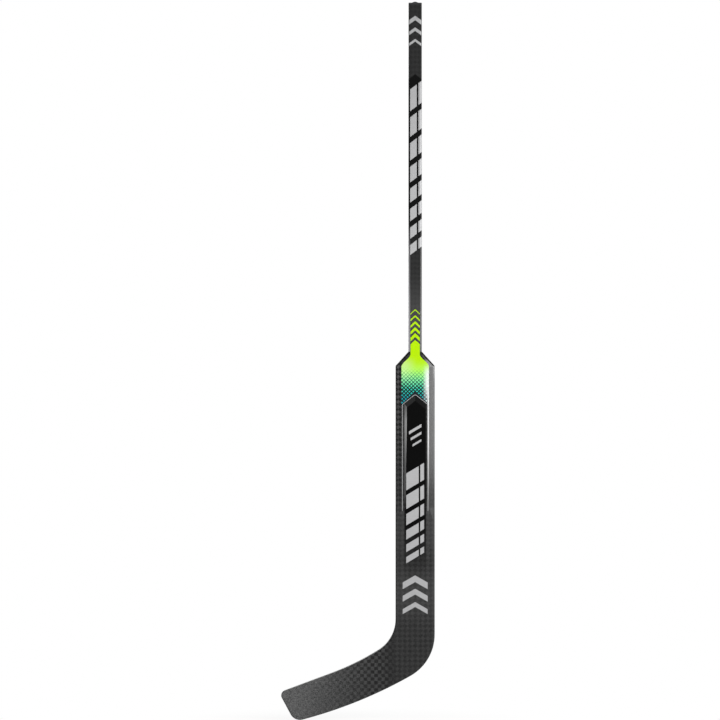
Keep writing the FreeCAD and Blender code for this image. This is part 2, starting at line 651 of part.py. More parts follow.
for item in doc.Objects:
    if "Invalid" in item.State or "Error" in item.State:
        raise RuntimeError("%s failed: %s" % (item.Label, item.State))
for part in parts:
    if part.Shape.isNull() or not part.Shape.isValid() or len(part.Shape.Solids) != 1:
        raise RuntimeError("%s is not one valid solid" % part.Label)

os.makedirs("parts", exist_ok=True)
for part in parts:
    part.Shape.exportStep("parts/%s.step" % part.Label)
    print("%-20s %12.1f mm3" % (part.Label, part.Shape.Volume))
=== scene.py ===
# %% [markdown]
# # A goaltender's hockey stick
#
# The stick is one long carbon moulding: a hollow rectangular shaft, a wide flat paddle with bevelled
# edges and a curved blade, with a plastic plug in the open end. Its solids come ready made from the
# CAD model, so this lesson keeps every one of them and spends its effort on the finishes: woven carbon
# under lacquer, printed foil, a paint fade and moulded plastic. Lengths are metres, the shaft stands
# along Z, the front face looks along -Y and the toe of the blade points along -X.

# %% Load the solids
import math

import bmesh
import bpy
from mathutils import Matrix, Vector


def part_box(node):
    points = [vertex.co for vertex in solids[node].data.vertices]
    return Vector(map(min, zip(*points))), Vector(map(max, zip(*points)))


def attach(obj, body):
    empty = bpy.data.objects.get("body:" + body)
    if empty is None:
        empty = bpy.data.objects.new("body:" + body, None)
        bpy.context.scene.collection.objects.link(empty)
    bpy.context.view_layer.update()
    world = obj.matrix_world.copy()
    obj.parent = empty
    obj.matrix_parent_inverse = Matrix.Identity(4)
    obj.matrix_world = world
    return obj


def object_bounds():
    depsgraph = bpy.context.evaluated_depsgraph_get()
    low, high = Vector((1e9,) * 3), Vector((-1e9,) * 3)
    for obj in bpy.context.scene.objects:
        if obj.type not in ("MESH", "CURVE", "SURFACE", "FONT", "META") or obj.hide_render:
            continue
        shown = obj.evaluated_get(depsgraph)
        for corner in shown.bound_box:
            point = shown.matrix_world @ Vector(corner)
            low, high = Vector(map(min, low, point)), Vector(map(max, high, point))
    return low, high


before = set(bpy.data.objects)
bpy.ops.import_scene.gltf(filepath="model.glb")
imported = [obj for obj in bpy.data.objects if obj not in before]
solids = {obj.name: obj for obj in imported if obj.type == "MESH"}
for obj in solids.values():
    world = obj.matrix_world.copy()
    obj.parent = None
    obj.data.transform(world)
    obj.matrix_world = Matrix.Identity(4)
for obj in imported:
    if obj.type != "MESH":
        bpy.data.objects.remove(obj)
cad_low, cad_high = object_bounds()
print("solids:", len(solids), "height:", round(cad_high.z - cad_low.z, 4), "m")

# %% [markdown]
# ## Measures
#
# A maker lays graphics out from the piece itself, so the sizes below are read off the loaded solids.
# Only three sizes can't be read from a box: the shaft's corner radius, the width of the paddle's bevel
# and the height of its sloping shoulders. The finishes further down work in millimetres, because a mark
# on a stick is easier to picture as 8 mm than as 0.008 m.

# %% Measure the shaft, the paddle and the blade
MM = 0.001
SHAFT_CORNER = 4 * MM
BEVEL_WIDTH = 13 * MM
SHOULDER_DROP = 32 * MM

shaft_low, shaft_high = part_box("shaft_tube")
paddle_low, paddle_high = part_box("paddle_front_skin")
shaft_half_depth = -shaft_low.y
shaft_flat = shaft_high.x - SHAFT_CORNER
paddle_half_depth = -paddle_low.y
paddle_flat = paddle_high.x - BEVEL_WIDTH
shoulder_slope = (paddle_high.x - shaft_high.x) / SHOULDER_DROP
blade_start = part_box("blade_rear_skin")[1].x
print("flat of the shaft:", round(2 * shaft_flat, 4), "flat of the paddle:", round(2 * paddle_flat, 4))

# %% [markdown]
# ## Shader arithmetic
#
# A finish is a sum of small effects: this much grey from the weave, that much gloss from the lacquer.
# Wiring Math nodes by hand hides such a sum, so one small class wraps a socket and lets Python's own
# operators add the nodes. Any other node comes from its `node` method: the settings go in first, since
# they can change which sockets a node has, and then the numbers or links of the sockets.

# %% A class for values that vary over a surface
def fill(socket, value):
    """Link a field to a socket, or set the socket to a plain number, vector or colour."""
    if isinstance(value, Field):
        socket.id_data.links.new(value.socket, socket)
    else:
        socket.default_value = value


class Field:
    """One output socket of a node tree: a number, vector or colour that varies over a surface."""

    def __init__(self, socket):
        self.socket = socket

    def node(self, kind, settings, inputs, output=0):
        """Make a node in the same tree: its settings first, then its sockets. Give back one output."""
        made = self.socket.id_data.nodes.new(kind)
        for name, value in settings.items():
            if name == "stops":
                for place, tint in value[2:]:
                    made.color_ramp.elements.new(place)
                for stop, (place, tint) in zip(made.color_ramp.elements, value):
                    stop.position = place
                    stop.color = tint
            else:
                setattr(made, name, value)
        for key, value in inputs.items():
            fill(made.inputs[key], value)
        return Field(made.outputs[output])

    def beside(self, output):
        """Another output of the node that this field comes from."""
        return Field(self.socket.node.outputs[output])

    def math(self, operation, first, second=0.0):
        """One Math node, which stands behind each operator below."""
        return self.node("ShaderNodeMath", {"operation": operation}, {0: first, 1: second})

    def __add__(self, other):
        return self.math("ADD", self, other)

    def __sub__(self, other):
        return self.math("SUBTRACT", self, other)

    def __rsub__(self, other):
        return self.math("SUBTRACT", other, self)

    def __mul__(self, other):
        return self.math("MULTIPLY", self, other)

    def __truediv__(self, other):
        return self.math("DIVIDE", self, other)

    def __rtruediv__(self, other):
        return self.math("DIVIDE", other, self)

    def __abs__(self):
        return self.math("ABSOLUTE", self)

    __radd__ = __add__
    __rmul__ = __mul__


# %% Soft steps, colours and bumps
def parts_of(vector):
    """The X, Y and Z of a vector field."""
    x = vector.node("ShaderNodeSeparateXYZ", {}, {"Vector": vector})
    return x, x.beside("Y"), x.beside("Z")


def rise(value, start, end):
    """A soft step from 0 at start to 1 at end. With start above end it falls instead."""
    settings = {"interpolation_type": "SMOOTHSTEP"}
    return value.node("ShaderNodeMapRange", settings, {"Value": value, "From Min": start, "From Max": end})


def mix(first, second, amount):
    """A colour that goes from first to second as the amount goes from 0 to 1."""
    return amount.node("ShaderNodeMix", {"data_type": "RGBA"}, {0: amount, 6: first, 7: second}, output=2)


def ramp(value, *stops):
    """A colour that passes through the stops, each a place from 0 to 1 and its colour."""
    return value.node("ShaderNodeValToRGB", {"stops": stops}, {"Fac": value})


def bump(height, strength, depth):
    """A normal that leans with the slope of a height from 0 to 1, which stands for this depth in metres."""
    return height.node("ShaderNodeBump", {}, {"Strength": strength, "Distance": depth, "Height": height})


def colour(red, green, blue):
    """A colour as a screen shows it, 0 to 255, in the linear values that shaders use."""
    shares = [part / 255 for part in (red, green, blue)]
    linear = [((part + 0.055) / 1.055) ** 2.4 if part > 0.04 else part / 12.92 for part in shares]
    return (*linear, 1.0)


def grey(level):
    """A neutral colour as a screen shows it, 0 to 255."""
    return colour(level, level, level)


print("mid grey 128 is", round(grey(128)[0], 4), "in linear light")


# %% Start a finish
def feed(shader, values):
    """Fill several sockets of a shader by name."""
    for name, value in values.items():
        fill(shader.inputs[name], value)


def start_finish(name, constants):
    """A new material, its main shader with the constant sockets set, and the place on the stick in mm."""
    material = bpy.data.materials.new(name)
    material.use_nodes = True
    shader = material.node_tree.nodes["Principled BSDF"]
    feed(shader, constants)
    metres = Field(shader.outputs["BSDF"]).node("ShaderNodeTexCoord", {}, {}, "Object")
    place = metres.node("ShaderNodeVectorMath", {"operation": "SCALE"}, {0: metres, "Scale": 1 / MM})
    return material, shader, place


def noise(place, per_mm, detail):
    """Noise from 0 to 1, with so many features per mm: one number, or one each along X, Y and Z."""
    stretch = per_mm if isinstance(per_mm, tuple) else (per_mm, per_mm, per_mm)
    scaled = place.node("ShaderNodeVectorMath", {"operation": "MULTIPLY"}, {0: place, 1: stretch})
    return place.node("ShaderNodeTexNoise", {}, {"Vector": scaled, "Scale": 1.0, "Detail": detail})


# %% [markdown]
# ## Woven carbon under lacquer
#
# The stick is covered with a plain weave of flat carbon tows, each about 8 mm wide. Two tows that cross
# catch the light differently, so the fabric shows as dark and pale squares. The blade's fabric lies
# square to the shaft and the paddle's lies on the bias, at 45 degrees, which makes it stiff in twist.
# An image could carry the weave, but it would blur and need unwrapping. Here the squares are counted
# from the place on the stick: whole tows give the square, the remainder gives the crown of the tow,
# and noise stretched along each tow gives its fibres.
#
# The skins are moulded in two halves that meet half way round the edge, and each half has its own
# cloth. So the cloth is measured from that middle: taking the depth off the distance from the centre
# line carries it round the upright edges, and taking it off the height as well carries the blade's
# cloth over its long edges. On the blade the middle follows the curve of the blade, and an arc written
# as a short power series is all it takes.

# %% Depth from the middle of the stick
TOE_SWEEP = 24.0
SWEEP_RUN = 263.0
sweep_radius = (SWEEP_RUN ** 2 + TOE_SWEEP ** 2) / (2 * TOE_SWEEP)


def from_middle(x, y):
    """How far a point lies in front of or behind the middle of the stick, in mm."""
    run = x.math("MAXIMUM", blade_start / MM - x, 0.0)
    bend = run * run / (2 * sweep_radius)
    return abs(y + bend + bend * bend / (2 * sweep_radius))


print("radius of the blade's curve:", round(sweep_radius), "mm")

# %% Weave of flat tows
TOW = 8.0
FIBRES_ACROSS = 2.5
FIBRES_ALONG = 0.06


def flat_tows(place, bias, over):
    """Which tow lies on top of each square, its crown, and its fibres as noise about 0."""
    x, y, z = parts_of(place)
    level = abs(x) - from_middle(x, y)
    upright = z - from_middle(x, y) * over
    across = level * math.cos(bias) + upright * math.sin(bias)
    along = upright * math.cos(bias) - level * math.sin(bias)
    column = across / TOW
    row = along / TOW
    squares = column.math("FLOOR", column) + row.math("FLOOR", row)
    lengthwise = squares.math("FLOORED_MODULO", squares, 2.0)
    side = column.math("FRACT", column) * 2 - 1
    end = row.math("FRACT", row) * 2 - 1
    crown = lengthwise * (1 - side * side) + (1 - lengthwise) * (1 - end * end)
    cloth = across.node("ShaderNodeCombineXYZ", {}, {"X": across, "Y": along})
    long_fibres = noise(cloth, (FIBRES_ACROSS, FIBRES_ALONG, 1.0), 2.0)
    cross_fibres = noise(cloth, (FIBRES_ALONG, FIBRES_ACROSS, 1.0), 2.0)
    fibres = lengthwise * long_fibres + (1 - lengthwise) * cross_fibres - 0.5
    return lengthwise - 0.5, crown, fibres


print("tows across the paddle:", round(2 * paddle_high.x / (TOW * MM)))

# %% [markdown]
# Carbon itself is nearly black. What the eye sees is the clear lacquer on top of it, so the finish has
# a smooth coat layer for the reflections, and the weave only changes the dark colour below. The base
# layer's own gloss is kept low, or it would shine a second time through the lacquer. Grit in the
# lacquer is two noises, a coarse and a fine one, and a slow ripple makes some squares bolder than
# others. A fine dark line runs round the edge where the two skins meet.

# %% Carbon shared by the blade, the paddle and the shaft
LACQUER = {"Specular IOR Level": 0.02, "Coat IOR": 1.5}
SOOT = grey(6)
GRAPHITE = grey(122)
SQUARE_CLOTH = (0.0, 1.0)
BIAS_CLOTH = (math.pi / 4, 0.0)
COARSE_GRIT = 0.45
FINE_GRIT = 1.6
RIPPLE = 0.09
SEAM = (0.35, 0.1)


def lay_carbon(shader, place, cloth, tone, weave, grit, gloss):
    """Finish a skin: a tone from soot to graphite, a weave and grit this strong, and this much lacquer."""
    tow, crown, fibres = flat_tows(place, *cloth)
    grain = noise(place, COARSE_GRIT, 3.0) * 0.7 + noise(place, FINE_GRIT, 2.0) * 0.6 - 0.65
    ripple = noise(place, RIPPLE, 1.0) * 1.8 + 0.1
    x, y, z = parts_of(place)
    seam = rise(from_middle(x, y), *SEAM)
    catch = tow * weave * ripple * (0.45 + 0.8 * crown)
    shade = tone + catch + fibres * (weave * 0.6 + 0.06) + grain * grit
    relief = crown * 0.03 + fibres * 0.02 - seam * 0.12
    feed(shader, {
        "Coat Weight": gloss * (1 - seam * 0.8),
        "Roughness": 0.5 + grain * 0.2,
        "Normal": bump(relief, 0.6, MM),
    })
    return mix(SOOT, GRAPHITE, shade * (1 - seam * 0.7))


# %% [markdown]
# The blade is not the same all along. Near the heel its weave is painted bold, standing in for the
# glints of the tows where the curve begins to turn the face towards the light, and along the sole it is
# fainter. Towards the toe the lacquer turns gritty to grip the puck, and its colour is painted paler, a
# painted highlight for the light that the curved toe faces. Each of these is a soft step, and each pair
# of numbers below says where such a step starts and where it ends, in mm.

# %% Blade finish: painted bold weave near the heel, a painted highlight and grit towards the toe
BOLD_START = (-44.0, -84.0)
BOLD_END = (-230.0, -80.0)
TOE_HIGHLIGHT_AND_GRIT = (-60.0, -295.0)
TIP_HIGHLIGHT = (-185.0, -270.0)
BLADE_CLIMB = 0.4
UPPER_EDGE = (-695.0, -650.0)
UPPER_START = (-120.0, -190.0)
UPPER_END = (-265.0, -215.0)
SOLE_EDGE = (-685.0, -710.0)
SOLE_START = (-85.0, -115.0)


def blade_carbon():
    material, shader, place = start_finish("blade_carbon", {**LACQUER, "Coat Roughness": 0.28})
    x, y, z = parts_of(place)
    height = z - x * BLADE_CLIMB
    upper = rise(height, *UPPER_EDGE) * rise(x, *UPPER_END) * rise(x, *UPPER_START)
    sole = rise(height, *SOLE_EDGE) * rise(x, *SOLE_START)
    bold = rise(x, *BOLD_END) * rise(x, *BOLD_START) * (1 - sole * 0.35) + upper * 0.4
    toe = rise(x, *TOE_HIGHLIGHT_AND_GRIT)
    # Painted light: bold raises the weave's contrast, and the toe and tip steps pale the tone. The grit is
    # the lacquer's own.
    carbon = lay_carbon(
        shader, place, SQUARE_CLOTH,
        tone=0.075 + bold * 0.05 + toe * 0.44 + rise(x, *TIP_HIGHLIGHT) * 0.1,
        weave=0.06 + bold * 0.16,
        grit=0.5 + toe * 2.2,
        gloss=0.4 - toe * 0.05,
    )
    feed(shader, {"Base Color": carbon})
    return material


blade_finish = blade_carbon()
print("made", blade_finish.name)

# %% [markdown]
# ## Paint on the paddle
#
# Under the lacquer the paddle carries a black panel that melts into the carbon at its lower end, a
# lime ground that darkens to teal over the shoulders, and a pale glow along one side. Soft edged paint
# like this has no outline to model, so it is mixed into the carbon's colour, with soft steps along X
# and Z as masks. The masks come first, each with its measures, and the finish then puts them together.

# %% Black panel
PANEL_HALF = 24.0
PANEL_PEAK = -96.0
PANEL_FALL = 0.8
PANEL_MELT = (-530.0, -378.0)
SIDE_SOFTNESS = 0.7
PEAK_SOFTNESS = 0.5


def under_peak(x, z, drop):
    """1 below a line that peaks on the centre line, so many mm under the top of the panel."""
    line = PANEL_PEAK - drop
    return rise(z + abs(x) * PANEL_FALL, line + PEAK_SOFTNESS, line - PEAK_SOFTNESS)


def between_sides(x):
    """1 between the upright sides of the panel."""
    return rise(abs(x), PANEL_HALF + SIDE_SOFTNESS, PANEL_HALF - SIDE_SOFTNESS)


def panel_mask(x, z):
    """1 on the black panel."""
    return between_sides(x) * under_peak(x, z, 0.0) * rise(z, *PANEL_MELT)


print("panel is", 2 * PANEL_HALF, "mm wide")

# %% [markdown]
# The panel looks sunk because of a printed border: a pale strip down its toe side, cut on a mitre at
# the top, and two facets below the peak, of which the one on the toe side is paler.

# %% Printed border of the panel
BORDER_INK = grey(150)
BORDER_OUTSIDE = (-26.4, -21.2)
BORDER_INSIDE = 18.8
BORDER_TAPER = 2.6
TAPER_RUN = (-150.0, -330.0)
BORDER_FOOT = (-350.0, -310.0)
BORDER_PALER = (-270.0, -150.0)
BORDER_DIMMER = (-165.0, -120.0)
MITRE_SLOPE = 1.34
MITRE = (-149.3, -150.0)
FACET_DEPTH = 14.5


def border_ink(x, z):
    """How much pale ink the border and the two facets have."""
    inside = rise(z, *TAPER_RUN) * BORDER_TAPER + BORDER_INSIDE
    mitre = rise(z + x * MITRE_SLOPE, *MITRE)
    strip = rise(x, *BORDER_OUTSIDE) * rise(x + inside, 0.4, -0.4) * rise(z, *BORDER_FOOT) * mitre
    strength = (0.35 + 0.55 * rise(z, *BORDER_PALER)) * (1 - 0.55 * rise(z, *BORDER_DIMMER))
    facets = under_peak(x, z, 0.0) * (1 - under_peak(x, z, FACET_DEPTH)) * (1 - mitre) * between_sides(x)
    return strip * strength + facets * (0.02 + 0.04 * rise(x, 1.0, -1.0))


print("border is", round(-BORDER_OUTSIDE[0] - BORDER_INSIDE, 1), "mm wide at the top")

# %% [markdown]
# The sloping shoulders end in a rim of painted shade, where the edge turns away from the light: the
# colour is darkened and the lacquer thinned there, and the rim is 1 mm narrower on the lit heel side. The
# edge is a straight line, so its distance follows from the height and the slope measured above, and
# one soft step on that distance makes the rim.

# %% Painted shade on the rim of the shoulders
RIM_WIDTH = 5.0
RIM_FOOT = (-34.0, -30.0)
LIT_SHOULDER = (20.0, 30.0)


def painted_rim_shade(x, z):
    """1 on the painted shade along the shoulders' outer rim, 1 mm thinner on the lit heel side."""
    from_edge = shaft_high.x / MM - z * shoulder_slope - abs(x) + rise(x, *LIT_SHOULDER)
    return rise(from_edge, RIM_WIDTH + 1, RIM_WIDTH - 1) * rise(z, *RIM_FOOT)


print("shoulders widen by", round(shoulder_slope, 3), "mm for each mm that they fall")

# %% [markdown]
# Between the diamonds of the fade lies a darker ground of the same colours, so that the fade reads as
# one paint. It has the paint's own outline: as wide as the shaft's flat at the neck, then an easy curve
# out to the bevels. A ramp gives the colours, because it takes as many stops as the fade needs.

# %% Lime ground under the fade
PAINT_NECK = 10.4
PAINT_FLARE = 20.4
FLARE_TOP = -6.0
FLARE_FOOT = -34.0
FADE_RUN = (-14.0, -112.0)
GROUND_FOOT = (-122.0, -119.0)


def past_paint(x, z):
    """How far a point lies outside the painted shoulders, in mm."""
    return abs(x) - (rise(z, FLARE_TOP, FLARE_FOOT) * PAINT_FLARE + PAINT_NECK)


def lime_ground(x, z):
    """The colour of the ground, lime that darkens to teal, and where it lies."""
    tint = ramp(
        rise(z, *FADE_RUN),
        (0.1, colour(176, 236, 46)),
        (0.3, colour(84, 162, 92)),
        (0.5, colour(36, 100, 80)),
        (0.78, colour(8, 24, 29)),
    )
    where = rise(past_paint(x, z), 0.3, -0.3) * (1 - under_peak(x, z, 0.0)) * rise(z, *GROUND_FOOT)
    return tint, where


print("paint is", 2 * PAINT_NECK, "to", 2 * (PAINT_NECK + PAINT_FLARE), "mm wide")

# %% [markdown]
# A pale glow is sprayed down the heel side beside the bevel, wide at the top and narrow further down.
# Over it the heel-side shoulder and the bevel's outer edge get painted highlights, pale colour that stands
# in for the light from the right and stays put as the stick turns.

# %% Pale glow along the heel side, with painted highlights on the shoulder and the bevel's edge
GLOW_AND_HIGHLIGHT_WHITE = grey(250)
GLOW_TOP = (-24.0, -50.0)
GLOW_FOOT = (-378.0, -170.0)
GLOW_WIDE = (15.5, 29.0)
GLOW_NARROW = (26.5, 29.5)
GLOW_NARROWS = (-70.0, -120.0)
GLOW_STOP = (31.2, 30.6)
SHOULDER_HIGHLIGHT_SIDE = (14.0, 22.0)
SHOULDER_HIGHLIGHT_TOP = (-15.0, -22.0)
SHOULDER_HIGHLIGHT_FOOT = (-36.0, -31.0)
EDGE_HIGHLIGHT_SIDE = (39.6, 41.2)
EDGE_HIGHLIGHT_DEPTH = (3.0, 5.5)
EDGE_HIGHLIGHT_TOP = (-31.0, -34.0)
EDGE_HIGHLIGHT_FOOT = (-380.0, -200.0)
EDGE_HIGHLIGHT_BRIGHT = (-70.0, -44.0)


def glow_and_painted_highlights(x, y, z, rim):
    """White of the sprayed strip, plus painted highlights on the shoulder and the bevel's outer edge."""
    narrows = rise(z, *GLOW_NARROWS)
    strip = rise(x, *GLOW_WIDE) * (1 - narrows) + rise(x, *GLOW_NARROW) * narrows
    strip = strip * rise(x, *GLOW_STOP) * rise(z, *GLOW_FOOT) * rise(z, *GLOW_TOP)
    # Painted highlights on the heel-side shoulder and along the bevel's outer edge.
    shoulder = rise(past_paint(x, z), -0.3, 0.3) * rise(x, *SHOULDER_HIGHLIGHT_SIDE) * (1 - rim)
    shoulder = shoulder * rise(z, *SHOULDER_HIGHLIGHT_TOP) * rise(z, *SHOULDER_HIGHLIGHT_FOOT)
    edge = rise(x, *EDGE_HIGHLIGHT_SIDE) * rise(abs(y), *EDGE_HIGHLIGHT_DEPTH) * rise(z, *EDGE_HIGHLIGHT_TOP) * rise(z, *EDGE_HIGHLIGHT_FOOT)
    return strip + shoulder * 0.14 + edge * (0.085 + 0.12 * rise(z, *EDGE_HIGHLIGHT_BRIGHT))


print("glow is", GLOW_TOP[0] - GLOW_FOOT[0], "mm long")

# %% [markdown]
# The paddle's own carbon changes too. Its weave is painted bold on the toe-side bevel and faint on the
# other one, painted contrast for the light that washes the weave out on the lit heel side. Below the bevels
# the gloss gives way to satin, with two bands of painted sheen: paler tone that stands in for raking light.

# %% Paddle's carbon
BEVEL_FOOT = (-378.0, -352.0)
BOLD_BEVEL = (-330.0, -60.0)
SATIN = (-325.0, -362.0)
UPPER_PAINTED_SHEEN = (-480.0, -400.0)
PAINTED_SHEEN_SIDE = (10.0, 40.0)
LOWER_PAINTED_SHEEN_TOP = (-470.0, -530.0)
LOWER_PAINTED_SHEEN_FOOT = (-625.0, -560.0)


def paddle_cloth(shader, place, panel, rim):
    """Lay the paddle's carbon and give back its colour."""
    x, y, z = parts_of(place)
    bevel_line = paddle_flat / MM
    bevels = rise(z, *BEVEL_FOOT)
    toe_bevel = rise(x, 1 - bevel_line, -1 - bevel_line) * bevels
    heel_bevel = rise(x, bevel_line - 1, bevel_line + 1) * bevels
    satin = rise(z, *SATIN)
    # Painted sheen: paler tone standing in for raking light, more of it on the heel side.
    upper_painted_sheen = satin * rise(z, *UPPER_PAINTED_SHEEN) * (0.04 + 0.06 * rise(x, *PAINTED_SHEEN_SIDE))
    lower_painted_sheen = rise(z, *LOWER_PAINTED_SHEEN_TOP) * rise(z, *LOWER_PAINTED_SHEEN_FOOT) * 0.08
    # The rim's painted shade darkens the tone and thins the coat.
    bare = 1 - rim * 0.8
    tone = 0.085 + toe_bevel * 0.02 + satin * 0.1 + upper_painted_sheen + lower_painted_sheen
    # Painted contrast: bold weave on the toe-side bevel, fainter weave on the lit heel-side bevel.
    weave = 0.07 + toe_bevel * (0.06 + 0.32 * rise(z, *BOLD_BEVEL)) - heel_bevel * 0.04
    gloss = 0.4 - satin * 0.34
    return lay_carbon(
        shader, place, BIAS_CLOTH,
        tone=tone * (1 - panel * 0.97) * bare,
        weave=weave * (1 - panel),
        grit=0.3 * (1 - panel),
        gloss=gloss * (1 - panel * 0.95) * bare,
    )


print("bevels start", round(paddle_flat / MM, 1), "mm from the centre line")


# %% Paddle finish: carbon, then the border, the lime ground, the glow and its painted highlights
def paddle_carbon():
    material, shader, place = start_finish("paddle_carbon", {**LACQUER, "Coat Roughness": 0.2})
    x, y, z = parts_of(place)
    rim = painted_rim_shade(x, z)
    carbon = paddle_cloth(shader, place, panel_mask(x, z), rim)
    printed = mix(carbon, BORDER_INK, border_ink(x, z))
    lime, where = lime_ground(x, z)
    painted = mix(printed, lime, where)
    feed(shader, {"Base Color": mix(painted, GLOW_AND_HIGHLIGHT_WHITE, glow_and_painted_highlights(x, y, z, rim))})
    return material


paddle_finish = paddle_carbon()
print("made", paddle_finish.name, "nodes:", len(paddle_finish.node_tree.nodes))

# %% [markdown]
# ## Paint on the shaft
#
# The shaft has a black band that ends in a peak near the plug and fades out lower down. Near the
# shoulders a grey haze lies over the carbon. Its rounded corners are paler still, most of all on the toe
# side, so the corners get a mask of their own.

# %% Shaft finish: plain carbon, a black band, a grey haze, and paler corners
BAND_TOP = 624.0
BAND_FALL = 0.8
BAND_FADE = (195.0, 305.0)
PALE_CORNER_GREY = colour(186, 184, 188)
HAZE_RUN = (190.0, 60.0)
CORNER_SIDE = (10.4, 13.0)
CORNER_DEPTH = (3.0, 7.0)
CORNER_TOP = (300.0, 210.0)
TOE_SIDE = (2.0, -2.0)


def shaft_carbon():
    material, shader, place = start_finish("shaft_carbon", {**LACQUER, "Coat Roughness": 0.2})
    x, y, z = parts_of(place)
    band = rise(z + abs(x) * BAND_FALL, BAND_TOP + 1, BAND_TOP - 1) * rise(z, *BAND_FADE)
    haze = rise(z, *HAZE_RUN)
    carbon = lay_carbon(
        shader, place, BIAS_CLOTH,
        tone=(0.06 + haze * 0.2) * (1 - band * 0.85),
        weave=0.03 * (1 - band),
        grit=0.12 * (1 - band),
        gloss=0.4 - band * 0.32,
    )
    corners = rise(abs(x), *CORNER_SIDE) * rise(abs(y), *CORNER_DEPTH)
    corners = corners * (0.45 * rise(z, *CORNER_TOP) + 0.55 * haze)
    pale = corners * (0.13 + 0.85 * rise(x, *TOE_SIDE))
    feed(shader, {"Base Color": mix(carbon, PALE_CORNER_GREY, pale)})
    return material


shaft_finish = shaft_carbon()
print("made", shaft_finish.name)

# %% [markdown]
# ## Plug, foam and laminate
#
# The plug is moulded black plastic with the fine pebbled skin that a spark-eroded mould leaves. The
# foam and the spars are sealed inside the skins, and show only where a user cuts the stick open, so
# each gets a simple finish of its own kind: closed cells for foam, long fibres for laminate.

# %% Moulded plastic
PEBBLES = 2.2
CLOUDS = 0.08


def plug_plastic():
    material, shader, place = start_finish("plug_plastic", {"Specular IOR Level": 0.4})
    pebbles = noise(place, PEBBLES, 2.0) - 0.5
    clouds = noise(place, CLOUDS, 2.0) - 0.5
    feed(shader, {
        "Base Color": mix(colour(24, 24, 25), colour(40, 40, 42), pebbles * 0.5 + clouds + 0.5),
        "Roughness": 0.48 + pebbles * 0.16,
        "Normal": bump(pebbles, 0.35, 0.1 * MM),
    })
    return material


plug_finish = plug_plastic()
print("made", plug_finish.name)

# %% Closed-cell foam
CELLS = 0.9


def core_foam():
    material, shader, place = start_finish("core_foam", {"Specular IOR Level": 0.2})
    cells = place.node("ShaderNodeTexVoronoi", {}, {"Vector": place, "Scale": CELLS})
    feed(shader, {
        "Base Color": mix(colour(214, 206, 184), colour(236, 231, 214), cells),
        "Roughness": 0.8 + cells * 0.15,
        "Normal": bump(cells, 0.5, 0.3 * MM),
    })
    return material


foam_finish = core_foam()
print("made", foam_finish.name)

# %% Laminate with its fibres along the stick
STRANDS = (3.0, 3.0, 0.05)


def bare_laminate():
    material, shader, place = start_finish("bare_laminate", {"Specular IOR Level": 0.3})
    strands = noise(place, STRANDS, 3.0)
    feed(shader, {
        "Base Color": mix(colour(18, 18, 19), colour(58, 58, 60), strands),
        "Roughness": 0.35 + strands * 0.25,
        "Normal": bump(strands, 0.4, 0.1 * MM),
    })
    return material


laminate_finish = bare_laminate()
print("made", laminate_finish.name)


# %% Put the finishes on the solids
def dress(finish, *names):
    """Give a finish to every material slot of the named solids."""
    for name in names:
        for slot in solids[name].material_slots:
            slot.material = finish


dress(shaft_finish, "shaft_tube")
dress(paddle_finish, "paddle_front_skin", "paddle_rear_skin")
dress(blade_finish, "blade_front_skin", "blade_rear_skin")
dress(plug_finish, "butt_plug")
dress(foam_finish, "toe_side_core", "centre_core", "heel_side_core", "heel_core")
dress(foam_finish, "blade_upper_core", "blade_lower_core")
dress(laminate_finish, "shaft_tenon", "heel_tenon", "toe_side_spar", "heel_side_spar", "blade_bridge")
bare_solids = [name for name, solid in solids.items() if not solid.material_slots]
print("solids without a finish:", bare_solids)

# %% [markdown]
# ## Printed foil
#
# The bright marks on the stick are thin foil, printed on and lacquered over. A mask in the carbon's
# colour could draw them, but their edges would only be as sharp as the picture that a baked model
# keeps. Here each mark is a real sheet, a tenth of a millimetre thick, laid on the skin. A mark is
# described on the flat, by its distance across the skin from the centre line and its height, and one
# function bends that flat layout round the shaft's corners and over the shoulders.

# %% From the flat layout to the skin
FOIL = 0.1 * MM


def on_skin(across, up, lift):
    """A point of the flat layout, in mm, lifted off the front of the stick."""
    across = across * MM
    up = up * MM
    slope = min(max(-up / SHOULDER_DROP, 0), 1)
    depth = shaft_half_depth + slope * (paddle_half_depth - shaft_half_depth)
    past_flat = abs(across) - shaft_flat
    if up < 0 or past_flat <= 0:
        return Vector((across, -depth - lift, up))
    turn = min(past_flat / SHAFT_CORNER, math.pi / 2)
    past_corner = past_flat - turn * SHAFT_CORNER
    x = shaft_flat + (SHAFT_CORNER + lift) * math.sin(turn)
    y = SHAFT_CORNER - depth - (SHAFT_CORNER + lift) * math.cos(turn) + past_corner
    return Vector((math.copysign(x, across), y, up))


print("25 mm across the shaft lands at", [round(part, 4) for part in on_skin(25, 400, FOIL)])


# %% Lay strips of foil on both faces
def lay_foil(name, strips, finish, lift=FOIL):
    """One piece of closed thin strips. A strip is a row of pairs: its two edges, point by point."""
    sheet = bmesh.new()
    for face in (1, -1):
        for strip in strips:
            rungs = []
            for first, second in strip:
                corners = [on_skin(*first, lift), on_skin(*second, lift)]
                corners += [on_skin(*second, -FOIL / 2), on_skin(*first, -FOIL / 2)]
                rungs.append([sheet.verts.new((p.x, p.y * face, p.z)) for p in corners])
            for near, far in zip(rungs, rungs[1:]):
                for k in range(4):
                    sheet.faces.new((near[k], near[(k + 1) % 4], far[(k + 1) % 4], far[k]))
            sheet.faces.new(rungs[0])
            sheet.faces.new(rungs[-1])
    bmesh.ops.recalc_face_normals(sheet, faces=sheet.faces)
    mesh = bpy.data.meshes.new(name)
    sheet.to_mesh(mesh)
    sheet.free()
    mesh.materials.append(finish)
    piece = bpy.data.objects.new(name, mesh)
    bpy.context.collection.objects.link(piece)
    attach(piece, "stick")
    print(name, "strips:", 2 * len(strips), "faces:", len(mesh.polygons))


